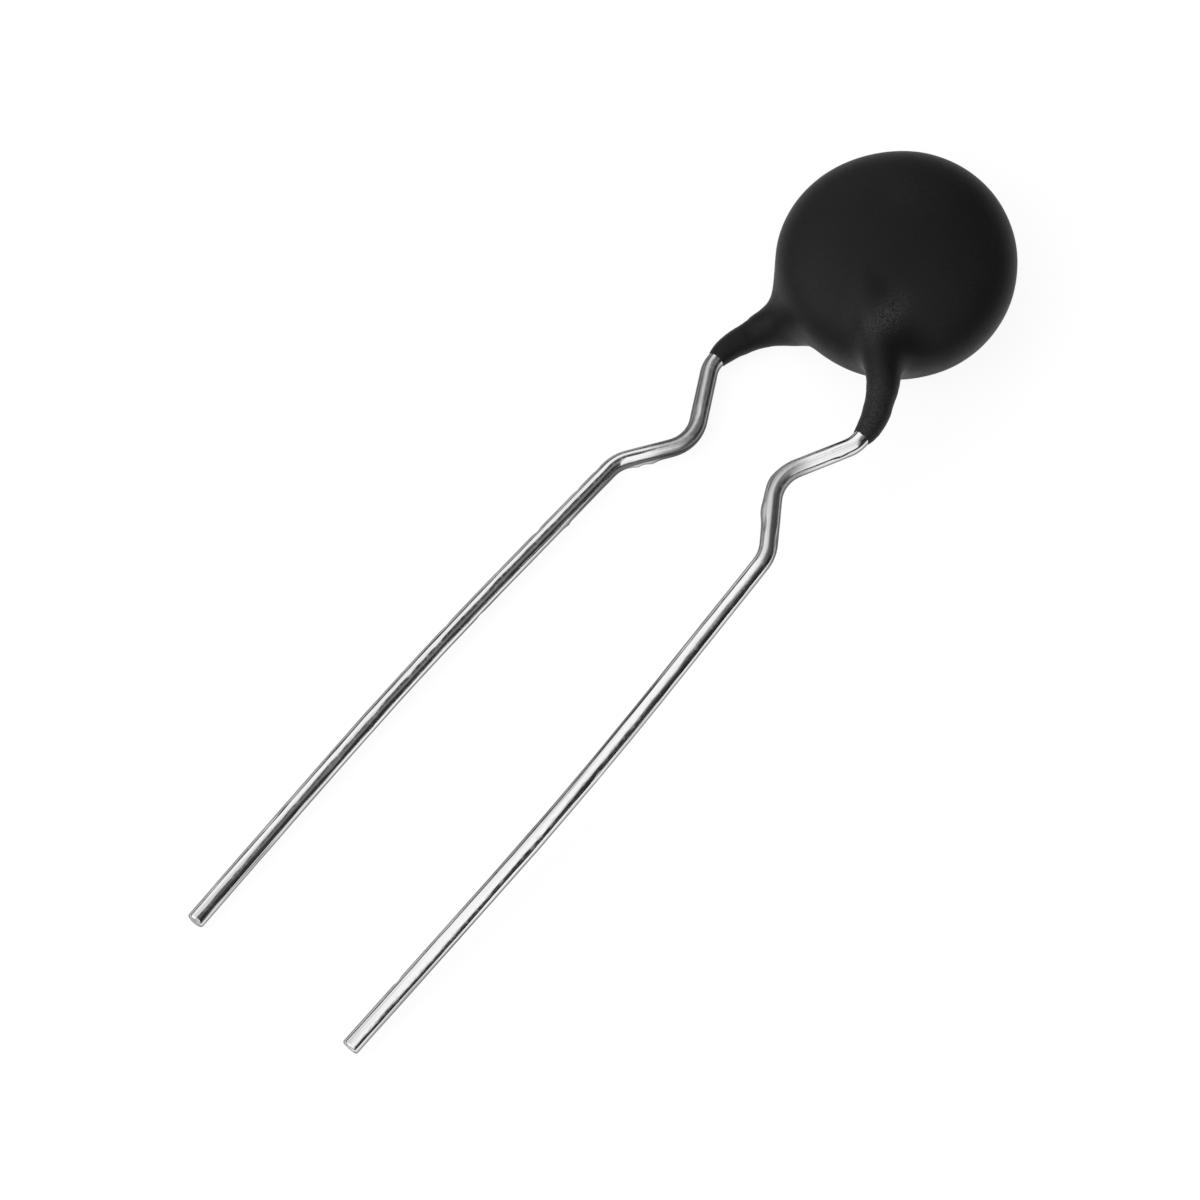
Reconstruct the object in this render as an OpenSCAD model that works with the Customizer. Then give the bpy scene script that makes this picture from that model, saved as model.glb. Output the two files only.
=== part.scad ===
// Disc thermistor with two kinked wire leads, lying at rest on its back face and its lead tips.
// X runs across the leads, Y along them towards the disc, Z up from the surface it lies on.

/* [Ceramic disc] */
// Diameter of the sintered disc
disc_d = 8.2; // [7.4:0.1:8.6]
// Thickness of the sintered disc
disc_t = 2.6; // [2.2:0.1:3]
// Chamfer round both faces of the disc
disc_chamfer = 0.15; // [0.05:0.05:0.3]
// Sideways place of the disc from the middle of its leads
disc_shift = -0.36; // [-0.5:0.02:0.5]

/* [Electrodes and solder] */
// Bare rim of ceramic left round each silver electrode
electrode_margin = 0.3; // [0.2:0.05:0.6]
// Thickness of each fired silver electrode
electrode_t = 0.05; // [0.03:0.01:0.08]
// Solder film between an electrode and its wire
solder_film = 0.03; // [0.02:0.01:0.06]
// Width of the solder at the electrode
solder_w = 1.5; // [1.2:0.1:1.8]
// Length of the soldered run
solder_run = 2.1; // [1.8:0.1:2.2]
// Distance from the wire's inner end to the solder
solder_start = 0.3; // [0.1:0.1:0.6]

/* [Wire leads] */
// Diameter of the tinned wire
wire_d = 0.75; // [0.7:0.05:0.8]
// Distance between the two lead tips
lead_pitch = 7.95; // [7.6:0.05:8.4]
// Distance along the leads from the disc's centre to the tips
lead_reach = 39; // [34:0.5:44]
// Height of the front lead's tip above the disc's middle plane
tip_rise = 0.2; // [0.1:0.05:0.3]
// Wire's straight run across the disc's face
face_run = 5.2; // [5:0.1:5.4]
// Slant of that run away from the lead's direction
face_slant = 50; // [48:1:52]
// Distance of the wire's inner end below the disc's centre
face_start = 1.6; // [1.4:0.05:1.8]
// Bend radius where a lead turns down past the rim
neck_r = 3.1; // [2.9:0.1:3.3]
// Bend radius where it sweeps inwards
sweep_r = 1.35; // [1.2:0.05:1.6]
// Whole angle of the sweep inwards
sweep_angle = 28; // [26:1:30]
// Bend radius at the kink and at the shoulder after it
kink_r = 1.6; // [1.3:0.1:1.8]
// Straight run between the sweep and the kink
kink_run_in = 2.15; // [2:0.05:2.4]
// Straight run between the kink and the shoulder
kink_run_out = 1.85; // [1.5:0.05:2.2]
// Slant of the wire after the kink
kink_slant = 34; // [32:1:36]
// Slant of the lead after its shoulder
splay = 1.85; // [1.2:0.05:2.4]
// Straight run from the shoulder to the bow
bow_start = 6.3; // [5:0.1:8]
// Bend radius of the slight bow in a lead
bow_r = 200; // [160:10:300]
// Angle of the slight bow in a lead
bow_angle = 3.1; // [2:0.1:4]
// Radius round the cut end of a lead
tip_round = 0.12; // [0.05:0.01:0.2]
// Straight wire between two bends that follow each other
bend_gap = 0.15; // [0.15:0.05:0.3]

/* [Dipped coating] */
// Coating outside the disc's rim
rim_skin = 0.85; // [0.8:0.05:1.05]
// Coating over the middle of a face
face_skin = 1.05; // [1:0.05:1.15]
// Fullness of the coated outline, where 2 is an ellipse
fullness = 2.5; // [2.3:0.05:2.8]
// Depth of the flatter side of the coated rim
flat_depth = 0.26; // [0.1:0.02:0.3]
// Direction of that side, round from the leads
flat_at = 243; // [220:1:260]
// Distance from the disc's centre to the level where the coating ends
dip_level = 7.4; // [7.2:0.05:7.6]
// Coating round the wire where it ends
sleeve_end = 0.07; // [0.05:0.01:0.12]
// Coating round the wire at its thickest, below the neck
sleeve_neck = 0.14; // [0.1:0.02:0.2]
// How far the sleeve sinks into the face at the wire's inner end
sleeve_sink = 0.8; // [0.6:0.05:0.9]
// Reach of the soft web between the disc and a leg
neck_blend = 2.2; // [2:0.1:2.4]
// Share by which that web is wider on a leg's outer side and narrower on its inner side
web_lean = 0.4; // [0.3:0.05:0.45]
// Reach of the soft blend at the wire's inner end
face_blend = 1; // [0.8:0.1:1.3]
// Reach of the soft blend where the coating ends
end_blend = 0.3; // [0.2:0.05:0.5]

/* [Hidden] */

wire_r = wire_d/2;
wire_z = disc_t/2 + electrode_t + solder_film + wire_r;
electrode_r = disc_d/2 - electrode_margin;
coat_r = disc_d/2 + rim_skin;
coat_h = disc_t/2 + face_skin;
round_fn = 48;
bend_fn = 144;
// A bend is this much thinner than the straight runs, which reach a little way into it
bend_thin = 0.008;
run_lap = 0.06;

// A route is a list of steps: straight run, bend angle, bend radius, roll of the bend, and the roll
// taken off after it where that differs. Roll 0 bends a lead inwards and 180 outwards.
function roll_off(s) = len(s) == 5 ? s[4] : s[3];
function rolled(l, d, roll) = l*cos(roll) + cross(d, l)*sin(roll);
function arc_point(p, d, m, r, a) = p + m*r*(1 - cos(a)) + d*r*sin(a);
function arc_length(a, r) = PI*r*a/180;
function step_length(s) = s[0] + arc_length(s[1], s[2]);
function route_length(steps, i = 0) =
    i == len(steps) ? 0 : step_length(steps[i]) + route_length(steps, i + 1);

// Place, direction and inward side after a length along a route, straight on past its end
function frame_at(steps, length, p, d, l, i = 0) =
    i == len(steps) ? [p + d*length, d, l] :
    let (s = steps[i], q = p + d*min(length, s[0]), left = length - s[0])
    left <= 0 ? [q, d, l] :
    let (m = rolled(l, d, s[3]), whole = arc_length(s[1], s[2]),
        a = s[1] == 0 ? 0 : s[1]*min(1, left/whole),
        e = d*cos(a) + m*sin(a), f = m*cos(a) - d*sin(a),
        r = arc_point(q, d, m, s[2], a))
    left <= whole ? [r, e, rolled(f, e, -roll_off(s))] :
    frame_at(steps, left - whole, r, e, rolled(f, e, -roll_off(s)), i + 1);

// The flat reach of everything from the neck to the end of the bow, in the lead's own plane
flat_steps = [
    [bend_gap, sweep_angle, sweep_r, 0],
    [kink_run_in, sweep_angle + kink_slant, kink_r, 180],
    [kink_run_out, kink_slant - splay, kink_r, 0],
    [bow_start, bow_angle, bow_r, 0],
];
flat_end = frame_at(flat_steps, route_length(flat_steps), [0, 0, 0], [0, -1, 0], [-1, 0, 0])[0];
last_slant = splay - bow_angle;
neck_drop = face_run*cos(face_slant) + neck_r*sin(face_slant);
neck_out = face_run*sin(face_slant) + neck_r*(1 - cos(face_slant));
slope_reach = lead_reach - face_start - neck_drop;
start_x = lead_pitch/2 - neck_out - flat_end[0] - (slope_reach + flat_end[1])*tan(last_slant);
slope = atan((wire_z - tip_rise)/(slope_reach + neck_r*tan(face_slant/2)));
last_run = (slope_reach/cos(slope) + flat_end[1])/cos(last_slant);

// The neck bend turns a lead straight down and onto its slope towards the other one
neck_angle = acos(cos(face_slant)*cos(slope));
neck_roll = asin(sin(slope)/sin(neck_angle));
neck_roll_off = acos(sin(face_slant)/sin(neck_angle));
wire_steps = concat([[face_run, neck_angle, neck_r, neck_roll, neck_roll_off]], flat_steps);
start_p = [start_x, -face_start, wire_z];
start_d = [sin(face_slant), -cos(face_slant), 0];
start_l = [-cos(face_slant), -sin(face_slant), 0];
function wire_frame(length) = frame_at(wire_steps, length, start_p, start_d, start_l);

// Length of wire from its inner end down to the level where the coating ends
function length_to_level(low, high, turns = 24) =
    let (middle = (low + high)/2)
    turns == 0 ? middle :
    wire_frame(middle)[0][1] > -dip_level ? length_to_level(middle, high, turns - 1) :
    length_to_level(low, middle, turns - 1);
coated_length = length_to_level(face_run, face_run + dip_level);

// The back lead is the front lead turned half round about the Y axis
module on_side(back) {
    rotate([0, back ? 180 : 0, 0]) children();
}
module at_wire_start() {
    translate(start_p) rotate([-90, 0, 180 + face_slant]) children();
}

// Wire along a route, from a start that points along +Z
module wire(steps, i = 0) {
    if (i < len(steps)) {
        s = steps[i];
        lap_in = i > 0 && steps[i - 1][1] > 0 ? run_lap : 0;
        lap_out = s[1] > 0 ? run_lap : 0;
        translate([0, 0, -lap_in]) cylinder(h = s[0] + lap_in + lap_out, r = wire_r, $fn = round_fn);
        if (s[1] > 0) translate([0, 0, s[0]]) rotate([0, 0, s[3]]) bend(s[1], s[2]);
        at_end([s]) wire(steps, i + 1);
    }
}
module bend(angle, radius) {
    translate([radius, 0, 0]) rotate([90, 0, 180])
        rotate_extrude(angle = angle, $fn = radius > 20 ? 1440 : bend_fn)
            translate([radius, 0]) circle(r = wire_r - bend_thin, $fn = round_fn);
}
module at_end(steps, i = 0) {
    if (i == len(steps)) children();
    else {
        s = steps[i];
        translate([0, 0, s[0]]) rotate([0, 0, s[3]])
            translate([s[2]*(1 - cos(s[1])), 0, s[2]*sin(s[1])])
                rotate([0, s[1], 0]) rotate([0, 0, -roll_off(s)])
                    at_end(steps, i + 1) children();
    }
}
module last_straight() {
    whole = last_run + run_lap;
    translate([0, 0, -run_lap]) rotate_extrude($fn = round_fn) {
        square([wire_r, whole - tip_round]);
        square([wire_r - tip_round, whole]);
        translate([wire_r - tip_round, whole - tip_round]) circle(r = tip_round, $fn = round_fn);
    }
}
module lead() {
    at_wire_start() {
        wire(wire_steps);
        at_end(wire_steps) last_straight();
    }
}

// Solder in two concave fillets along the wire, joined by the film under it
module solder() {
    fillet_r = solder_w/2 - wire_r;
    at_wire_start() translate([0, 0, solder_start]) linear_extrude(solder_run) difference() {
        translate([-solder_w/2, 0]) square([solder_w, wire_r + solder_film]);
        circle(r = wire_r, $fn = round_fn);
        for (side = [-1, 1]) translate([side*solder_w/2, 0]) circle(r = fillet_r, $fn = round_fn);
    }
}
module electrode() {
    translate([disc_shift, 0, disc_t/2]) cylinder(h = electrode_t, r = electrode_r, $fn = 96);
}
module disc() {
    straight_h = disc_t - 2*disc_chamfer;
    translate([disc_shift, 0, -disc_t/2]) rotate_extrude($fn = 96) polygon([
        [0, 0], [disc_d/2 - disc_chamfer, 0], [disc_d/2, disc_chamfer],
        [disc_d/2, disc_chamfer + straight_h], [disc_d/2 - disc_chamfer, disc_t], [0, disc_t]]);
}

// The coating's skin is where this field is zero: a full lens round the disc, softly joined
// to a sleeve round each wire.
function rim_r(out) =
    let (r = norm(out), toward = [sin(flat_at), -cos(flat_at)])
    r == 0 ? coat_r : coat_r - flat_depth*pow(max(0, out*toward/r), 3);
function lens(p) =
    let (out = [p[0] - disc_shift, p[1]], a = norm(out)/rim_r(out), b = abs(p[2])/coat_h,
        g = pow(pow(a, fullness) + pow(b, fullness), 1/fullness),
        slope_a = pow(a, fullness - 1)/coat_r, slope_b = pow(b, fullness - 1)/coat_h)
    (g - 1)*pow(g, fullness - 1)/norm([slope_a, slope_b]);

// Points along the coated wire
past_end = 0.6;
mark_count = 14;
marks = concat([0], [for (k = [0:mark_count])
    face_run + (coated_length + past_end - face_run)*k/mark_count]);
marks_p = [for (s = marks) wire_frame(s)[0]];

// Distance to the wire's centre line, how far before the coating's end the nearest point is,
// and how far out from the wire, to its outer side, the point lies
function nearest_on(p, k) =
    let (a = marks_p[k], v = marks_p[k + 1] - a, t = min(1, max(0, (p - a)*v/(v*v))),
        across = p - a - v*t)
    [norm(across), coated_length - marks[k] - t*(marks[k + 1] - marks[k]), across[0]];
function nearest(p, k = 0, best = [1000, 0, 0]) =
    k == len(marks_p) - 1 ? best :
    let (c = nearest_on(p, k)) nearest(p, k + 1, c[0] < best[0] ? c : best);
sleeve = [[0, sleeve_end], [1.2, sleeve_neck], [2.5, 0.7*sleeve_neck], [4.5, -sleeve_sink/4],
    [7.6, -sleeve_sink]];
blend = [[0, end_blend], [0.9, 0.45*neck_blend], [1.8, neck_blend], [3.5, neck_blend],
    [5.2, 0.5*(neck_blend + face_blend)], [8, face_blend]];
function soft_min(a, b, k) = let (h = max(k - abs(a - b), 0)/k) min(a, b) - h*h*k/4;
function join_sleeve(field, p) =
    let (c = nearest(p), lean = 1 + web_lean*c[2]/max(c[0], wire_r/10))
    soft_min(field, c[0] - wire_r - lookup(c[1], sleeve), lean*lookup(c[1], blend));
function turned(p) = [-p[0], p[1], -p[2]];
function field(p) = join_sleeve(join_sleeve(lens(p), p), turned(p));
function lens_normal(p) =
    let (out = [p[0] - disc_shift, p[1]], r = norm(out),
        side = r == 0 ? [0, 0] : out/r*pow(r/coat_r, fullness - 1)/coat_r,
        up = sign(p[2])*pow(abs(p[2])/coat_h, fullness - 1)/coat_h,
        n = [side[0], side[1], up])
    n/norm(n);

// A point moved along a fixed direction onto the skin
probe = 0.01;
longest_move = 0.4;
least_slope = 0.35;
function limited(x, most) = max(-most, min(most, x));
function settled(p, n, turns = 5) =
    turns == 0 ? p :
    let (f = field(p), s = (field(p + n*probe) - f)/probe)
    settled(p - n*limited(f/max(s, least_slope), longest_move), n, turns - 1);
function on_skin(p) = settled(p, lens_normal(p));

// It lies on its back, on both lead tips and the lowest point of the ridge over its back wire:
// points on that ridge, along and across the wire
rest_x = 2*tip_rise/lead_pitch;
ridge_step = 0.2;
ridge_outer = 0.8;
ridge = [for (s = [0:ridge_step:coated_length], out = [0:ridge_step:ridge_outer])
    let (fr = wire_frame(s), p = turned(fr[0] - fr[2]*out))
    settled([p[0], p[1], -wire_z - wire_r - sleeve_neck], [0, 0, -1])];
function ridge_h(rest_y) = max([for (p = ridge) rest_x*p[0] + rest_y*p[1] - p[2]]);
function rest_slope(rest_y, turns = 6) =
    turns == 0 ? rest_y :
    rest_slope((wire_r*norm([rest_x, rest_y, 1]) - ridge_h(rest_y))/lead_reach, turns - 1);
rest_y = rest_slope(0);
rest_pitch = atan(-rest_y);
rest_roll = atan(rest_x/sqrt(1 + rest_y*rest_y));
rest_h = ridge_h(rest_y)/norm([rest_x, rest_y, 1]);
middle_x = disc_shift + (coat_r - rim_r([-1, 0]))/2;
middle_y = (coat_r - lead_reach)/2;
module at_rest() {
    translate([-middle_x, -middle_y, rest_h]) rotate([rest_pitch, rest_roll, 0]) children();
}

// The skin as one closed mesh: rows of points from the front pole over the rim to the back pole,
// with a window for each leg, and a tube of loops that grows out of each window.
columns = 72;
rows = 16;
window_rows = [8, 18];
window_columns = [1, 11];
back_shift = -11;
loop_counts = [window_columns[1] - window_columns[0], window_rows[1] - window_rows[0]];
loop_size = 2*(loop_counts[0] + loop_counts[1]);
flare_loops = 6;
tube_start = face_run + 1.1;
tube_loops = 9;

function grid_point(i, j) =
    let (fi = 90*i/rows, th = 360*j/columns, e = 2/fullness,
        r = rim_r([sin(th), -cos(th)])*pow(sin(fi), e), z = coat_h*sign(cos(fi))*pow(abs(cos(fi)), e))
    [disc_shift + r*sin(th), -r*cos(th), z];
function grid_id(i, j) =
    i == 0 ? 0 : i == 2*rows ? 1 + (2*rows - 1)*columns : 1 + (i - 1)*columns + (j + columns)%columns;

// Row and column of each point round a window, from its inner front corner
function window_at(q) =
    let (n = loop_counts[0], m = loop_counts[1], w = window_rows, c = window_columns)
    q < n ? [w[0], c[0] + q] :
    q < n + m ? [w[0] + q - n, c[1]] :
    q < 2*n + m ? [w[1], c[1] - (q - n - m)] :
    [w[1] - (q - 2*n - m), c[0]];
function window_id(q, back) =
    let (w = window_at(q))
    back ? grid_id(2*rows - w[0], window_columns[0] + window_columns[1] + back_shift - w[1]) :
    grid_id(w[0], w[1]);
function loop_angle(q) =
    let (n = loop_counts[0], m = loop_counts[1])
    q < n ? 45 + 90*q/n :
    q < n + m ? 135 + 90*(q - n)/m :
    q < 2*n + m ? 225 + 90*(q - n - m)/n :
    315 + 90*(q - 2*n - m)/m;
function tube_frame(k, q, back) =
    let (s = tube_start + (coated_length + past_end/2 - tube_start)*k/(tube_loops - 1),
        fr = wire_frame(s), a = loop_angle(q), up = -cross(fr[1], fr[2]),
        r = wire_r + lookup(coated_length - s, sleeve),
        n = fr[2]*cos(a) + up*sin(a), p = fr[0] + n*r)
    back ? [turned(p), turned(n)] : [p, n];

function in_window(i, j, back) =
    let (r = back ? 2*rows - 1 - i : i,
        c = back ? (window_columns[0] + window_columns[1] + back_shift - 1 - j + 2*columns)%columns : j)
    r >= window_rows[0] && r < window_rows[1] && c >= window_columns[0] && c < window_columns[1];

module skin() {
    disc_points = concat([on_skin(grid_point(0, 0))],
        [for (i = [1:2*rows - 1], j = [0:columns - 1]) on_skin(grid_point(i, j))],
        [on_skin(grid_point(2*rows, 0))]);
    disc_faces = [for (i = [0:2*rows - 1], j = [0:columns - 1])
        if (!in_window(i, j, false) && !in_window(i, j, true))
        let (a = grid_id(i, j), b = grid_id(i, j + 1), c = grid_id(i + 1, j + 1), d = grid_id(i + 1, j))
        each (i == 0 ? [[a, c, d]] : i == 2*rows - 1 ? [[a, b, c]] : [[a, b, c], [a, c, d]])];
    loops = flare_loops + tube_loops;
    leg_points = [for (back = [false, true]) concat(
        [for (k = [1:loops], q = [0:loop_size - 1])
            let (t = min(1, k/(flare_loops + 1)), edge = disc_points[window_id(q, back)],
                tube = tube_frame(max(0, k - flare_loops - 1), q, back),
                n = lens_normal(edge)*(1 - t) + tube[1]*t)
            settled(edge*(1 - t) + tube[0]*t, n/norm(n))],
        [let (e = wire_frame(coated_length + past_end)[0]) back ? turned(e) : e])];
    per_leg = loops*loop_size + 1;
    leg_faces = [for (back = [false, true])
        let (first = len(disc_points) + (back ? per_leg : 0),
            id = function (k, q) let (w = q%loop_size)
                k == 0 ? window_id(w, back) : first + (k - 1)*loop_size + w)
        each concat(
            [for (k = [0:loops - 1], q = [0:loop_size - 1])
                each [[id(k, q), id(k, q + 1), id(k + 1, q + 1)], [id(k, q), id(k + 1, q + 1), id(k + 1, q)]]],
            [for (q = [0:loop_size - 1]) [id(loops, q), id(loops, q + 1), first + per_leg - 1]])];
    polyhedron(points = concat(disc_points, leg_points[0], leg_points[1]),
        faces = concat(disc_faces, leg_faces));
}

// Everything past the level that the part was dipped to
cutter_w = 4*coat_r;
module past_level() {
    translate([-cutter_w/2, -dip_level - cutter_w, -cutter_w/2]) cube(cutter_w);
}

module coating() {
    color([0.15, 0.15, 0.16]) at_rest() difference() {
        skin();
        past_level();
        disc();
        for (back = [false, true]) on_side(back) {
            lead();
            solder();
        }
        electrode();
        mirror([0, 0, 1]) electrode();
    }
}
module ceramic_disc() {
    color([0.33, 0.33, 0.34]) at_rest() disc();
}
module front_electrode() {
    color([0.85, 0.85, 0.83]) at_rest() electrode();
}
module back_electrode() {
    color([0.85, 0.85, 0.83]) at_rest() mirror([0, 0, 1]) electrode();
}
module front_solder() {
    color([0.72, 0.73, 0.75]) at_rest() solder();
}
module back_solder() {
    color([0.72, 0.73, 0.75]) at_rest() on_side(true) solder();
}
module lead_front() {
    color([0.8, 0.81, 0.82]) at_rest() lead();
}
module lead_back() {
    color([0.8, 0.81, 0.82]) at_rest() on_side(true) lead();
}

coating();
ceramic_disc();
front_electrode();
back_electrode();
front_solder();
back_solder();
lead_front();
lead_back();
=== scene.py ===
# A dark dipped disc thermistor on its two kinked, tinned leads, lying on a white table.
import math

import bmesh
import bpy
import numpy as np
from mathutils import Matrix, Vector, noise


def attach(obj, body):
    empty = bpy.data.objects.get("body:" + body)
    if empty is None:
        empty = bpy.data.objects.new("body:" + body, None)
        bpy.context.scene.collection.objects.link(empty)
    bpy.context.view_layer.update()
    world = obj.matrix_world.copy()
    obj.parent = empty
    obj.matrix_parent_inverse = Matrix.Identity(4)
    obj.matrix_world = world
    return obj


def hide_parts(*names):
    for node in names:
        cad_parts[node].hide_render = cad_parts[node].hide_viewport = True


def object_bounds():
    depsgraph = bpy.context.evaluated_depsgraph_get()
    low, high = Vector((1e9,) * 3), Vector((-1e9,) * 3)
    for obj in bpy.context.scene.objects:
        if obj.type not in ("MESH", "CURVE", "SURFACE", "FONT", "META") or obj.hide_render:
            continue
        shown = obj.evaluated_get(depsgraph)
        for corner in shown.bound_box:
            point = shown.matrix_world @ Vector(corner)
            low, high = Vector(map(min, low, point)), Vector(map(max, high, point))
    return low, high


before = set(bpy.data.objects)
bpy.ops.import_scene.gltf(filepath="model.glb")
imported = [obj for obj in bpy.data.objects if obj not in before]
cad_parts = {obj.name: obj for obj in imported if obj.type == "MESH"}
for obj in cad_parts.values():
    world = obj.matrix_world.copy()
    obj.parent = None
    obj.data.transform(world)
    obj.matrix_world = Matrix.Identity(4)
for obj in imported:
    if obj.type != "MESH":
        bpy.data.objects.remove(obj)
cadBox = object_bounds()
mm = 0.001
print("frame loaded")

# How the part lies on the table, in degrees and millimetres from the middle of its disc
lie = {"pitch": 3.1376, "roll": 2.87607, "place": (0.26804, 17.025, 2.50694)}
restPlace = (Matrix.Translation(Vector(lie["place"]) * mm)
             @ Matrix.Rotation(math.radians(lie["roll"]), 4, "Y")
             @ Matrix.Rotation(math.radians(lie["pitch"]), 4, "X"))

# The camera looks down on the table, a little from below the picture
cameraSet = {"aim": (-0.5025, -1.313, 0.0), "distance": 180.0, "tilt": 23.0, "turn": 39.738, "lens": 135.0}


def placeCamera(s):
    tilt, turn = math.radians(s["tilt"]), math.radians(s["turn"])
    pictureUp = Vector((-math.sin(turn), math.cos(turn), 0))
    away = pictureUp * -math.sin(tilt) + Vector((0, 0, math.cos(tilt)))
    right = pictureUp.cross(Vector((0, 0, 1)))
    data = bpy.data.cameras.new("tableCamera")
    data.lens = s["lens"]
    data.sensor_width = 36
    data.clip_start = 0.01
    data.clip_end = 20
    camera = bpy.data.objects.new("tableCamera", data)
    bpy.context.scene.collection.objects.link(camera)
    turned = Matrix((right, away.cross(right), away)).transposed().to_4x4()
    camera.matrix_world = Matrix.Translation((Vector(s["aim"]) + away * s["distance"]) * mm) @ turned
    bpy.context.scene.camera = camera
    return right, pictureUp


pictureRight, pictureUp = placeCamera(cameraSet)
print("camera placed")


def linkMesh(name, bm, materials, smooth=True):
    mesh = bpy.data.meshes.new(name)
    bm.to_mesh(mesh)
    bm.free()
    for material in materials:
        mesh.materials.append(material)
    if not smooth:
        mesh.polygons.foreach_set("use_smooth", [False] * len(mesh.polygons))
    piece = bpy.data.objects.new(name, mesh)
    bpy.context.scene.collection.objects.link(piece)
    return piece


def newMaterial(name):
    material = bpy.data.materials.new(name)
    material.use_nodes = True
    nodes = material.node_tree.nodes
    return material, nodes, material.node_tree.links, nodes["Principled BSDF"]


def addNode(nodes, kind, inputs=None, **settings):
    node = nodes.new(kind)
    for key, value in settings.items():
        setattr(node, key, value)
    for key, value in (inputs or {}).items():
        node.inputs[key].default_value = value
    return node


def addNoise(nodes, links, vector, scale, detail=3.0, roughness=0.6):
    texture = addNode(nodes, "ShaderNodeTexNoise", {"Scale": scale, "Detail": detail, "Roughness": roughness})
    links.new(vector, texture.inputs["Vector"])
    return texture.outputs["Fac"]


def addRamp(nodes, links, factor, stops):
    ramp = nodes.new("ShaderNodeValToRGB")
    while len(ramp.color_ramp.elements) < len(stops):
        ramp.color_ramp.elements.new(0.5)
    for element, (position, tone) in zip(ramp.color_ramp.elements, stops):
        element.position = position
        element.color = (tone[0], tone[1], tone[2], 1) if isinstance(tone, tuple) else (tone, tone, tone, 1)
    links.new(factor, ramp.inputs["Fac"])
    return ramp.outputs["Color"]


def addMath(nodes, links, operation, a, b):
    node = addNode(nodes, "ShaderNodeMath", operation=operation)
    for socket, value in ((node.inputs[0], a), (node.inputs[1], b)):
        if isinstance(value, float):
            socket.default_value = value
        else:
            links.new(value, socket)
    return node.outputs[0]


# Cured resin: near-black, with a fine pebbled grain, a cloudy tone, a painted reflection that makes
# the edge paler where it turns away from the view, and pale flecks: painted highlight in a patch on
# the front face and rubbed flecks on the front wire's leg. Cloud, grain, speck and fleck are in
# patterns to a metre. Each of the tones has a place on the ramp, a grey and how much more blue there is.
resinSet = {
    "cloud": 380.0, "grain": 8500.0, "speck": 16000.0, "fleck": 15000.0,
    "tones": [(0.36, 0.0070, 1.04), (0.56, 0.0092, 1.03), (0.72, 0.015, 1.02)],
    "rim": [(0.84, 0.0), (0.94, 0.052), (1.0, 0.195)], "fleckAndGlint": [(0.36, 0.004), (0.64, 0.062)],
    "gloss": [(0.3, 0.46), (0.7, 0.60)], "specular": 0.20, "bump": 0.000014, "bumpStrength": 0.45,
}


def resinMaterial(s):
    material, nodes, links, surface = newMaterial("dippedResin")
    place = addNode(nodes, "ShaderNodeTexCoord").outputs["Object"]
    cloud = addNoise(nodes, links, place, s["cloud"], 4.0, 0.55)
    grain = addNoise(nodes, links, place, s["grain"], 3.0)
    speck = addNoise(nodes, links, place, s["speck"], 1.0)
    both = addMath(nodes, links, "MULTIPLY", addMath(nodes, links, "ADD", cloud, grain), 0.5)
    tone = addRamp(nodes, links, both, [(at, (grey, grey, grey * blue)) for at, grey, blue in s["tones"]])
    # Painted reflection: the colour is made paler where the resin turns away from the view
    edge = addNode(nodes, "ShaderNodeLayerWeight", {"Blend": 0.5}).outputs["Facing"]
    rim = addRamp(nodes, links, edge, s["rim"])
    # Painted highlight in a patch on the front face, together with real rubbed flecks on the front wire's leg
    fleckAndGlint = addNode(nodes, "ShaderNodeAttribute", attribute_name="fleckAndGlintMask").outputs["Fac"]
    fleck = addRamp(nodes, links, addNoise(nodes, links, place, s["fleck"], 2.0), s["fleckAndGlint"])
    rimSheenAndFlecks = addMath(nodes, links, "ADD", rim, addMath(nodes, links, "MULTIPLY", fleck, fleckAndGlint))
    lit = addNode(nodes, "ShaderNodeMix", {"Factor": 1.0}, data_type="RGBA", blend_type="ADD")
    links.new(tone, lit.inputs["A"])
    links.new(rimSheenAndFlecks, lit.inputs["B"])
    links.new(lit.outputs["Result"], surface.inputs["Base Color"])
    links.new(addRamp(nodes, links, speck, s["gloss"]), surface.inputs["Roughness"])
    pebble = addNode(nodes, "ShaderNodeBump", {"Strength": s["bumpStrength"], "Distance": s["bump"]})
    links.new(grain, pebble.inputs["Height"])
    links.new(pebble.outputs["Normal"], surface.inputs["Normal"])
    surface.inputs["Specular IOR Level"].default_value = s["specular"]
    return material


# Tinned wire: a bright skin with drawn streaks along it and small pits, duller where a tool bent it,
# and painted shade that darkens its colour towards the edges, where it turns away from the view
tinSet = {
    "streak": (3400.0, 3400.0, 60.0), "dent": (900.0, 900.0, 380.0), "pit": 5200.0,
    "bright": [(0.35, 0.14), (0.41, 0.62), (0.50, 0.86), (0.62, 0.93)],
    "dull": [(0.36, 0.05), (0.44, 0.24), (0.54, 0.42), (0.66, 0.72)],
    "outline": [(0.38, 1.0), (0.54, 0.28), (0.75, 0.10), (1.0, 0.08)],
    "gloss": [(0.45, 0.07), (0.72, 0.22)], "wornGloss": 0.22,
    "streakHeight": 0.35, "bump": 0.00007, "bumpStrength": 0.6,
}


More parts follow.
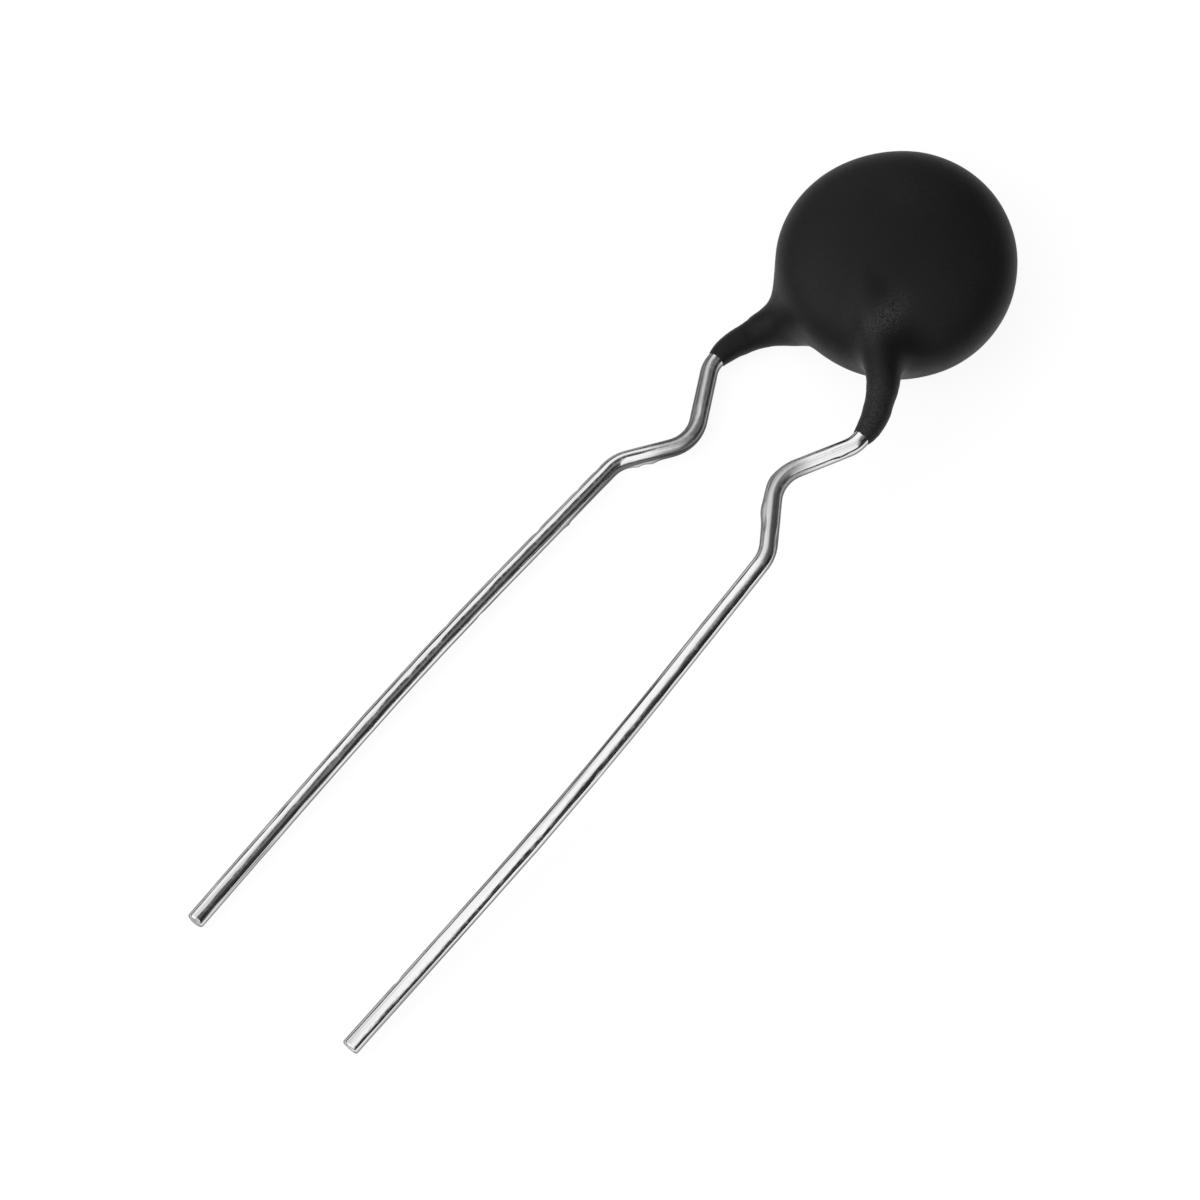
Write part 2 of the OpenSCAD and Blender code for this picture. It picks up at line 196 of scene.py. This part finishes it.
def tinMaterial(s):
    material, nodes, links, surface = newMaterial("tinnedWire")
    along = addNode(nodes, "ShaderNodeAttribute", attribute_name="wireCoord").outputs["Vector"]
    worn = addNode(nodes, "ShaderNodeAttribute", attribute_name="toolWear").outputs["Fac"]
    drawn = addNode(nodes, "ShaderNodeMapping", {"Scale": s["streak"]})
    links.new(along, drawn.inputs["Vector"])
    dents = addNode(nodes, "ShaderNodeMapping", {"Scale": s["dent"]})
    links.new(along, dents.inputs["Vector"])
    streak = addNoise(nodes, links, drawn.outputs["Vector"], 1.0, 4.0)
    dent = addNoise(nodes, links, dents.outputs["Vector"], 1.0, 2.0, 0.5)
    pit = addNoise(nodes, links, along, s["pit"], 2.0)
    bright = addRamp(nodes, links, streak, s["bright"])
    dull = addRamp(nodes, links, streak, s["dull"])
    tone = addNode(nodes, "ShaderNodeMix", data_type="RGBA")
    links.new(worn, tone.inputs["Factor"])
    links.new(bright, tone.inputs["A"])
    links.new(dull, tone.inputs["B"])
    # Painted shade: the colour darkens towards the wire's edges, where it turns away from the view
    edge = addNode(nodes, "ShaderNodeLayerWeight", {"Blend": 0.5}).outputs["Facing"]
    outline = addRamp(nodes, links, edge, s["outline"])
    toned = addNode(nodes, "ShaderNodeMix", {"Factor": 1.0}, data_type="RGBA", blend_type="MULTIPLY")
    links.new(tone.outputs["Result"], toned.inputs["A"])
    links.new(outline, toned.inputs["B"])
    links.new(toned.outputs["Result"], surface.inputs["Base Color"])
    gloss = addRamp(nodes, links, pit, s["gloss"])
    links.new(addMath(nodes, links, "ADD", gloss, addMath(nodes, links, "MULTIPLY", worn, s["wornGloss"])),
              surface.inputs["Roughness"])
    height = addMath(nodes, links, "ADD", addMath(nodes, links, "MULTIPLY", streak, s["streakHeight"]), dent)
    rough = addNode(nodes, "ShaderNodeBump", {"Strength": s["bumpStrength"], "Distance": s["bump"]})
    links.new(height, rough.inputs["Height"])
    links.new(rough.outputs["Normal"], surface.inputs["Normal"])
    surface.inputs["Metallic"].default_value = 1.0
    return material


# The sealed pieces inside: darkest and palest tone, grain, roughness and metal of each
sealedSet = {
    "sinteredCeramic": (0.05, 0.10, 6000.0, 0.75, 0.0),
    "firedSilver": (0.55, 0.78, 5000.0, 0.45, 1.0),
    "softSolder": (0.45, 0.66, 3000.0, 0.35, 1.0),
}
sealedGrain = {"detail": 4.0, "darkAt": 0.35, "paleAt": 0.65, "bump": 0.00002, "bumpStrength": 0.4}


def sealedMaterial(s, name, low, high, scale, roughness, metal):
    material, nodes, links, surface = newMaterial(name)
    place = addNode(nodes, "ShaderNodeTexCoord").outputs["Object"]
    grain = addNoise(nodes, links, place, scale, s["detail"])
    tone = addRamp(nodes, links, grain, [(s["darkAt"], low), (s["paleAt"], high)])
    links.new(tone, surface.inputs["Base Color"])
    bump = addNode(nodes, "ShaderNodeBump", {"Strength": s["bumpStrength"], "Distance": s["bump"]})
    links.new(grain, bump.inputs["Height"])
    links.new(bump.outputs["Normal"], surface.inputs["Normal"])
    surface.inputs["Roughness"].default_value = roughness
    surface.inputs["Metallic"].default_value = metal
    return material


resin = resinMaterial(resinSet)
tin = tinMaterial(tinSet)
ceramic, silver, softSolder = (sealedMaterial(sealedGrain, name, *values)
                               for name, values in sealedSet.items())
for nodeName, material in (("ceramic_disc", ceramic), ("front_electrode", silver), ("back_electrode", silver),
                           ("front_solder", softSolder), ("back_solder", softSolder),
                           ("lead_front", tin), ("lead_back", tin), ("coating", resin)):
    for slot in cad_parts[nodeName].material_slots:
        slot.material = material
print("materials made")

# The wire's route, in millimetres and degrees: straight run, bend angle, bend radius, and the
# roll of the bend before and after it. It starts over the disc and ends at the cut tip.
wire = {
    "radius": 0.375, "sides": 56, "tipRound": 0.12, "start": (-1.43036, -1.6, 1.755), "slant": 50.0,
    "lastRun": 7.89848, "straightStep": 0.13, "bendStep": 3.0, "tipRings": 6,
    "unevenness": 0.007, "longWave": (1.6, 0.42), "shortWave": (4.0, 1.5), "waveShift": 7.0,
    "lumpFade": 2.5, "wornFade": 5.0,
    "steps": [(5.2, 50.0529, 3.1, 3.50636, 2.25302), (0.15, 28.0, 1.35, 0, 0),
              (2.15, 62.0, 1.6, 180, 180), (1.85, 32.15, 1.6, 0, 0), (6.3, 3.1, 200.0, 0, 0)],
}


def turn(degrees, axis):
    return Matrix.Rotation(math.radians(degrees), 4, axis)


wireStart = Matrix.Translation(wire["start"]) @ turn(180 + wire["slant"], "Z") @ turn(-90, "X")


def bendEnd(step, share):
    run, angle, radius, roll, rollOff = step
    a = math.radians(angle * share)
    reach = Matrix.Translation((radius * (1 - math.cos(a)), 0, radius * math.sin(a)))
    return (Matrix.Translation((0, 0, run)) @ turn(roll, "Z") @ reach @ turn(angle * share, "Y")
            @ turn(-(roll + (rollOff - roll) * share), "Z"))


def wireStations(straightStep, bendStep):
    place, length = Matrix.Identity(4), 0.0
    stations = [(length, place)]
    for step in wire["steps"] + [(wire["lastRun"], 0, 1, 0, 0)]:
        run, angle, radius = step[:3]
        arc = math.radians(angle) * radius
        runs = math.ceil(run / straightStep)
        for k in range(1, runs + 1):
            stations.append((length + run * k / runs, place @ Matrix.Translation((0, 0, run * k / runs))))
        bends = max(math.ceil(angle / bendStep), math.ceil(arc / (2 * straightStep)))
        for k in range(1, bends + 1):
            stations.append((length + run + arc * k / bends, place @ bendEnd(step, k / bends)))
        place, length = place @ bendEnd(step, 1), length + run + arc
    return stations


# Each one once and in the order given, where a set's order would change from run to run
def once(items):
    return list(dict.fromkeys(items))


def startRing(bm, radius, sides, place, coord):
    made = bmesh.ops.create_circle(bm, cap_ends=True, segments=sides, radius=radius)
    for v in made["verts"]:
        v[coord] = v.co.copy()
    bmesh.ops.transform(bm, matrix=place, verts=made["verts"])
    return once(e for v in made["verts"] for e in v.link_edges)


def growRing(bm, ring, move, run, coord):
    old = {v for e in ring for v in e.verts}
    made = bmesh.ops.extrude_edge_only(bm, edges=ring)
    new = [v for v in made["geom"] if isinstance(v, bmesh.types.BMVert)]
    for v in new:
        source = next(e.other_vert(v) for e in v.link_edges if e.other_vert(v) in old)
        v[coord] = source[coord] + Vector((0, 0, run))
    bmesh.ops.transform(bm, matrix=move, verts=new)
    newSet = set(new)
    return once(e for v in new for e in v.link_edges if e.other_vert(v) in newSet)


def growTube(bm, ring, stations, coord):
    for (before, a), (after, b) in zip(stations, stations[1:]):
        ring = growRing(bm, ring, b @ a.inverted(), after - before, coord)
    return ring


# Marks left on each wire: where along it, direction round it, length, width and height of a lump
# or, below zero, a dent; and the stretches that the bending tool left dull
leadMarks = {
    "leadFrontWire": {"lumps": [(13.1, -0.35, 0.75, 0.55, 0.10), (13.7, -0.8, 0.3, 0.4, -0.04),
                                (11.9, -0.3, 0.5, 0.5, 0.045), (14.3, -2.6, 0.5, 0.5, -0.03),
                                (9.1, -2.7, 0.4, 0.5, 0.03), (26.0, -2.4, 0.6, 0.5, -0.02),
                                (37.2, -0.2, 0.16, 0.5, -0.06)],
                      "worn": [(10.6, 15.2)]},
    "leadBackWire": {"lumps": [(10.6, 1.9, 0.35, 0.35, -0.04), (13.5, -0.2, 0.35, 0.5, 0.07),
                               (14.1, -0.2, 0.25, 0.5, 0.06), (15.7, 2.7, 0.2, 0.5, -0.03),
                               (16.9, 2.9, 0.15, 0.5, -0.04), (18.2, -0.2, 0.18, 0.5, 0.04),
                               (19.3, 2.9, 0.2, 0.5, -0.05), (23.4, -0.2, 0.16, 0.5, -0.04),
                               (24.8, 2.9, 0.2, 0.5, -0.045), (32.0, 1.2, 0.9, 0.4, -0.02)],
                     "worn": [(8.0, 13.3)]},
}


def markLead(bm, coord, marks):
    wear = bm.verts.layers.float.new("toolWear")
    (wide, slow), (fine, quick), fade = wire["longWave"], wire["shortWave"], wire["wornFade"]
    bm.normal_update()
    for v in bm.verts:
        x, y, run = v[coord]
        push = wire["unevenness"] * (noise.noise(Vector((x * wide, y * wide, run * slow))) - 1)
        ripple = noise.noise(Vector((x * fine + wire["waveShift"], y * fine, run * quick)))
        push += 0.5 * wire["unevenness"] * ripple
        for at, toward, length, width, height in marks["lumps"]:
            off = math.remainder(math.atan2(y, x) - toward, 2 * math.pi)
            near = ((run - at) / length) ** 2 + (off / width) ** 2
            push += height * math.exp(-wire["lumpFade"] * near)
        v.co += v.normal * push
        v[wear] = sum(1 / (1 + math.exp(-fade * (run - a))) / (1 + math.exp(fade * (run - b)))
                      for a, b in marks["worn"])


def makeLead(name, side):
    bm = bmesh.new()
    coord = bm.verts.layers.float_vector.new("wireCoord")
    stations = wireStations(wire["straightStep"], wire["bendStep"])
    length, last = stations[-1]
    stations[-1] = (length - wire["tipRound"], last @ Matrix.Translation((0, 0, -wire["tipRound"])))
    stations = [(run, side @ wireStart @ place) for run, place in stations]
    ring = growTube(bm, startRing(bm, wire["radius"], wire["sides"], stations[0][1], coord), stations, coord)
    end, rounds, radius, height = stations[-1][1], wire["tipRings"], wire["radius"], 0.0
    for k in range(1, rounds + 1):
        a = math.radians(90 * k / rounds)
        nextRadius = wire["radius"] - wire["tipRound"] * (1 - math.cos(a))
        nextHeight = wire["tipRound"] * math.sin(a)
        shrink = Matrix.Diagonal((nextRadius / radius, nextRadius / radius, 1, 1))
        move = (end @ Matrix.Translation((0, 0, nextHeight)) @ shrink @ Matrix.Translation((0, 0, -height))
                @ end.inverted())
        ring = growRing(bm, ring, move, nextHeight - height, coord)
        radius, height = nextRadius, nextHeight
    cap = bmesh.ops.edgeloop_fill(bm, edges=ring)["faces"]
    bmesh.ops.recalc_face_normals(bm, faces=bm.faces)
    markLead(bm, coord, leadMarks[name])
    for v in bm.verts:
        v[coord] = v[coord] * mm
    for f in bm.faces:
        f.smooth = f not in cap
    bmesh.ops.transform(bm, matrix=restPlace @ Matrix.Scale(mm, 4), verts=bm.verts)
    bmesh.ops.recalc_face_normals(bm, faces=bm.faces)
    return linkMesh(name, bm, [tin])


halfTurn = Matrix.Diagonal((-1, 1, -1, 1))
unturned = Matrix.Identity(4)
for name, side, nodeName in (("leadFrontWire", unturned, "lead_front"),
                             ("leadBackWire", halfTurn, "lead_back")):
    lead = makeLead(name, side)
    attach(lead, "root")
    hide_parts(nodeName)
print("leads made")

# The dipped coating: a full lens round the disc, softly joined to a sleeve round each wire. The
# sleeve and the reach of the join are given by the distance back from the coating's end. Each of
# the stages is a voxel size and the number of times that the points move towards the skin.
dip = {
    "radius": 4.95, "height": 2.35, "shift": -0.36, "fullness": 2.5, "flatDepth": 0.26, "flatAt": 243.0,
    "level": 7.4, "coatedLength": 7.98971, "pastEnd": 0.6, "webLean": 0.4,
    "sleeve": ((0, 0.07), (0.5, 0.14), (1.3, 0.22), (2.4, 0.19), (3.6, 0.0), (4.5, -0.2), (7.6, -0.8)),
    "reach": ((0, 0.3), (0.5, 0.75), (1.2, 1.6), (2.0, 2.2), (3.5, 2.2), (5.2, 1.55), (8, 0.95)),
    "lineStep": (0.3, 4.0), "lineGap": 0.2, "roughStep": (0.3, 6.0), "roughSkin": 0.15, "roughSides": 24,
    "ballSides": 72, "ballRings": 36, "stages": ((0.22, 16), (0.16, 6), (0.1, 5)), "smoothing": 0.5,
    "lastTurns": 2, "stride": 0.22, "leastSlope": 0.15, "probe": 0.01, "waviness": 0.014, "waveScale": 0.6,
    "cutMargin": 1.0, "thinOver": 0.6, "feather": 0.035, "ragged": 0.06, "raggedDeepest": -0.02,
    "raggedScale": 2.6, "raggedSlice": 3.7,
    # Painted highlight: a patch of pale flecks on the front face beside the ridge over the front wire, its
    # middle, size and stretch; and real rubbed flecks on the front wire's leg below a level
    "glintAt": (1.27, -2.95, 2.0), "glintSize": 0.6, "glintStretch": (0.6, 0.5),
    "legScuff": 0.45, "legScuffBelow": 4.6,
}


def coatedLine():
    points, runs = [], []
    for run, place in wireStations(*dip["lineStep"]):
        if run > dip["coatedLength"] + dip["pastEnd"]:
            break
        if not runs or run - runs[-1] > dip["lineGap"]:
            points.append((wireStart @ place).to_translation())
            runs.append(run)
    return np.array([tuple(p) for p in points]), np.array(runs)


linePoints, lineRuns = coatedLine()


def sleeveDistance(p):
    best, beforeEnd, outward = np.full(len(p), 1e9), np.zeros(len(p)), np.zeros(len(p))
    for k in range(len(linePoints) - 1):
        a, v = linePoints[k], linePoints[k + 1] - linePoints[k]
        t = np.clip((p - a) @ v / (v @ v), 0, 1)
        across = p - a - t[:, None] * v
        d = np.linalg.norm(across, axis=1)
        nearer = d < best
        best = np.where(nearer, d, best)
        left = dip["coatedLength"] - lineRuns[k] - t * (lineRuns[k + 1] - lineRuns[k])
        beforeEnd = np.where(nearer, left, beforeEnd)
        outward = np.where(nearer, across[:, 0], outward)
    sleeve = np.interp(beforeEnd, *zip(*dip["sleeve"]))
    lean = 1 + dip["webLean"] * outward / np.maximum(best, wire["radius"] / 10)
    return best - wire["radius"] - sleeve, lean * np.interp(beforeEnd, *zip(*dip["reach"]))


def lensDistance(p):
    f, toward = dip["fullness"], math.radians(dip["flatAt"])
    x, y = p[:, 0] - dip["shift"], p[:, 1]
    r = np.hypot(x, y)
    facing = (x * math.sin(toward) - y * math.cos(toward)) / np.maximum(r, 1e-9)
    a = r / (dip["radius"] - dip["flatDepth"] * np.maximum(facing, 0) ** 3)
    b = np.abs(p[:, 2]) / dip["height"]
    g = np.maximum((a ** f + b ** f) ** (1 / f), 1e-6)
    steep = np.hypot(a ** (f - 1) / dip["radius"], b ** (f - 1) / dip["height"])
    return (g - 1) * g ** (f - 1) / np.maximum(steep, 1e-6)


def skinField(p):
    field = lensDistance(p)
    for mirror in ((1, 1, 1), (-1, 1, -1)):
        distance, reach = sleeveDistance(p * mirror)
        h = np.maximum(reach - np.abs(field - distance), 0) / reach
        field = np.minimum(field, distance) - h * h * reach / 4
    return field


# Moves each point along the slope of the field until it lies on the skin
def settle(p, turns):
    for _ in range(turns):
        field = skinField(p)
        ahead = [skinField(p + np.eye(3)[k] * dip["probe"]) for k in range(3)]
        slopes = np.stack([(f - field) / dip["probe"] for f in ahead], 1)
        steep = np.maximum((slopes ** 2).sum(1), dip["leastSlope"])
        p = p - slopes * np.clip(field / steep, -dip["stride"], dip["stride"])[:, None]
    return p


def settleMesh(bm, turns):
    for v, p in zip(bm.verts, settle(np.array([v.co[:] for v in bm.verts]), turns)):
        v.co = p


def roughDip():
    bm = bmesh.new()
    coord = bm.verts.layers.float_vector.new("wireCoord")
    ball = bmesh.ops.create_uvsphere(bm, u_segments=dip["ballSides"], v_segments=dip["ballRings"], radius=1)
    grow = Matrix.Diagonal((dip["radius"], dip["radius"], dip["height"], 1))
    bmesh.ops.transform(bm, matrix=Matrix.Translation((dip["shift"], 0, 0)) @ grow, verts=ball["verts"])
    line = [s for s in wireStations(*dip["roughStep"]) if s[0] < dip["coatedLength"] + dip["pastEnd"]]
    for side in (unturned, halfTurn):
        stations = [(run, side @ wireStart @ place) for run, place in line]
        ring = startRing(bm, wire["radius"] + dip["roughSkin"], dip["roughSides"], stations[0][1], coord)
        bmesh.ops.edgeloop_fill(bm, edges=growTube(bm, ring, stations, coord))
    bmesh.ops.recalc_face_normals(bm, faces=bm.faces)
    return bm


def remeshed(piece, voxel):
    remesh = piece.modifiers.new("oneSkin", "REMESH")
    remesh.mode = "VOXEL"
    remesh.voxel_size = voxel
    graph = bpy.context.evaluated_depsgraph_get()
    mesh = bpy.data.meshes.new_from_object(piece.evaluated_get(graph))
    bm = bmesh.new()
    bm.from_mesh(mesh)
    bpy.data.objects.remove(piece)
    bpy.data.meshes.remove(mesh)
    return bm


# The legs end at the level that the part was dipped to, a little ragged and thinner at the edge
def cutAtLevel(bm):
    level, over, scale = dip["level"], dip["thinOver"], dip["raggedScale"]
    low = [f for f in bm.faces if f.calc_center_median().y < -level + dip["cutMargin"]]
    geom = once(v for f in low for v in f.verts) + once(e for f in low for e in f.edges) + low
    bmesh.ops.bisect_plane(bm, geom=geom, dist=1e-5, plane_co=(0, -level, 0), plane_no=(0, -1, 0),
                           clear_outer=True)
    rim = [e for e in bm.edges if e.is_boundary]
    caps = bmesh.ops.edgeloop_fill(bm, edges=rim)["faces"]
    middles = [f.calc_center_median() for f in caps]
    for v in bm.verts:
        rise = v.co.y + level
        if rise > over:
            continue
        middle = min(middles, key=lambda m: (v.co - m).length)
        out = Vector((v.co.x - middle.x, 0, v.co.z - middle.z))
        share = max(0.0, 1 - rise / over)
        thin = dip["feather"] * share ** 3
        torn = noise.noise(Vector((v.co.x * scale, dip["raggedSlice"], v.co.z * scale)))
        if out.length > wire["radius"]:
            v.co -= out.normalized() * thin
        v.co.y += max(dip["ragged"] * share * torn, dip["raggedDeepest"])
    for f in caps:
        f.smooth = False
    for e in rim:
        e.smooth = False


def makeDip():
    bm = roughDip()
    for voxel, turns in dip["stages"]:
        bm = remeshed(linkMesh("roughDip", bm, []), voxel)
        settleMesh(bm, turns)
    bmesh.ops.smooth_vert(bm, verts=bm.verts, factor=dip["smoothing"],
                          use_axis_x=True, use_axis_y=True, use_axis_z=True)
    settleMesh(bm, dip["lastTurns"])
    bm.normal_update()
    for v in bm.verts:
        v.co += v.normal * dip["waviness"] * (noise.noise(v.co * dip["waveScale"]) - 1)
    for f in bm.faces:
        f.smooth = True
    cutAtLevel(bm)
    # One mask for painted highlight in a patch on the front face and real rubbed flecks on the front wire's
    # leg; it makes the resin paler
    fleckAndGlintMask = bm.verts.layers.float.new("fleckAndGlintMask")
    tall, deep = dip["glintStretch"]
    for v in bm.verts:
        off = v.co - Vector(dip["glintAt"])
        patch = math.hypot(off.x, off.y * tall, off.z * deep) / dip["glintSize"]
        leg = min(max(-v.co.y - dip["legScuffBelow"], 0), 1) if v.co.x > 0 else 0
        v[fleckAndGlintMask] = min(math.exp(-patch * patch) + dip["legScuff"] * leg, 1)
    bmesh.ops.transform(bm, matrix=restPlace @ Matrix.Scale(mm, 4), verts=bm.verts)
    for v in bm.verts:
        v.co.z = max(v.co.z, cadBox[0][2])
    bmesh.ops.recalc_face_normals(bm, faces=bm.faces)
    return linkMesh("dippedCoating", bm, [resin])


coating = makeDip()
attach(coating, "root")
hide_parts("coating")
print("coating made", len(coating.data.polygons))

# White table, one soft lamp, and a white tent that is open on the far right, where the room is
# dark for the most part. Room is its tone from -X to +X, skirt the tone from the table's level up,
# and openEdge the slant of the opening and where it begins and is full.
studio = {
    "floorSize": 2.0, "floorColour": 0.16, "floorRoughness": 0.9, "floorGlow": 0.90,
    "tent": 1.0, "openEdge": (4.05, 0.35, 0.44), "skirt": [(0.0, 0.01), (0.26, 0.03), (0.44, 1.0)],
    "room": [(0.0, 1.0), (0.27, 1.0), (0.35, 0.07), (0.53, 0.06), (0.63, 0.17), (0.72, 0.20), (0.80, 0.10),
             (0.87, 0.010), (0.93, 0.03), (0.975, 0.17)],
    "lampPower": 0.6, "lampAt": (-0.42, -0.12), "lampHeight": 0.36, "lampSize": (0.35, 0.45),
}


def makeFloor(s):
    material, nodes, links, surface = newMaterial("whiteTable")
    surface.inputs["Base Color"].default_value = (s["floorColour"], s["floorColour"], s["floorColour"], 1)
    surface.inputs["Roughness"].default_value = s["floorRoughness"]
    surface.inputs["Specular IOR Level"].default_value = 0.0
    path = addNode(nodes, "ShaderNodeLightPath").outputs
    seen = addMath(nodes, links, "MAXIMUM", path["Is Camera Ray"],
                   addMath(nodes, links, "MAXIMUM", path["Is Glossy Ray"], path["Is Transmission Ray"]))
    surface.inputs["Emission Color"].default_value = (1, 1, 1, 1)
    links.new(addMath(nodes, links, "MULTIPLY", seen, s["floorGlow"]), surface.inputs["Emission Strength"])
    bm = bmesh.new()
    bmesh.ops.create_grid(bm, x_segments=1, y_segments=1, size=s["floorSize"])
    linkMesh("whiteTable", bm, [material], smooth=False)


def makeRoom(s):
    world = bpy.data.worlds.new("whiteTent")
    bpy.context.scene.world = world
    world.use_nodes = True
    nodes, links = world.node_tree.nodes, world.node_tree.links
    split = nodes.new("ShaderNodeSeparateXYZ")
    links.new(addNode(nodes, "ShaderNodeTexCoord").outputs["Generated"], split.inputs[0])
    across = addMath(nodes, links, "MULTIPLY", addMath(nodes, links, "ADD", split.outputs["X"], 1.0), 0.5)
    room = addRamp(nodes, links, across, s["room"])
    slant, inside, outside = s["openEdge"]
    farther = addMath(nodes, links, "MULTIPLY", split.outputs["Y"], slant)
    edge = addMath(nodes, links, "MULTIPLY", addMath(nodes, links, "ADD", split.outputs["X"], farther), 0.5)
    opened = addRamp(nodes, links, edge, [(inside, 0.0), (outside, 1.0)])
    skirt = addRamp(nodes, links, split.outputs["Z"], s["skirt"])
    seen = addNode(nodes, "ShaderNodeMix", data_type="FLOAT")
    links.new(opened, seen.inputs["Factor"])
    seen.inputs["A"].default_value = s["tent"]
    links.new(room, seen.inputs["B"])
    path = addNode(nodes, "ShaderNodeLightPath").outputs
    reflected = addMath(nodes, links, "MULTIPLY", seen.outputs["Result"], skirt)
    strength = addMath(nodes, links, "MAXIMUM", reflected, path["Is Camera Ray"])
    nodes["Background"].inputs["Color"].default_value = (1, 1, 1, 1)
    links.new(strength, nodes["Background"].inputs["Strength"])


def addSoftbox(s):
    data = bpy.data.lights.new("leftSoftbox", "AREA")
    data.shape = "RECTANGLE"
    data.size, data.size_y = s["lampSize"]
    data.energy = s["lampPower"]
    lamp = bpy.data.objects.new("leftSoftbox", data)
    rightward, upward = s["lampAt"]
    lamp.location = pictureRight * rightward + pictureUp * upward + Vector((0, 0, s["lampHeight"]))
    lamp.rotation_euler = lamp.location.to_track_quat("Z", "Y").to_euler()
    bpy.context.scene.collection.objects.link(lamp)


makeFloor(studio)
makeRoom(studio)
addSoftbox(studio)
bpy.context.scene.view_settings.view_transform = "Standard"
print("stage made")
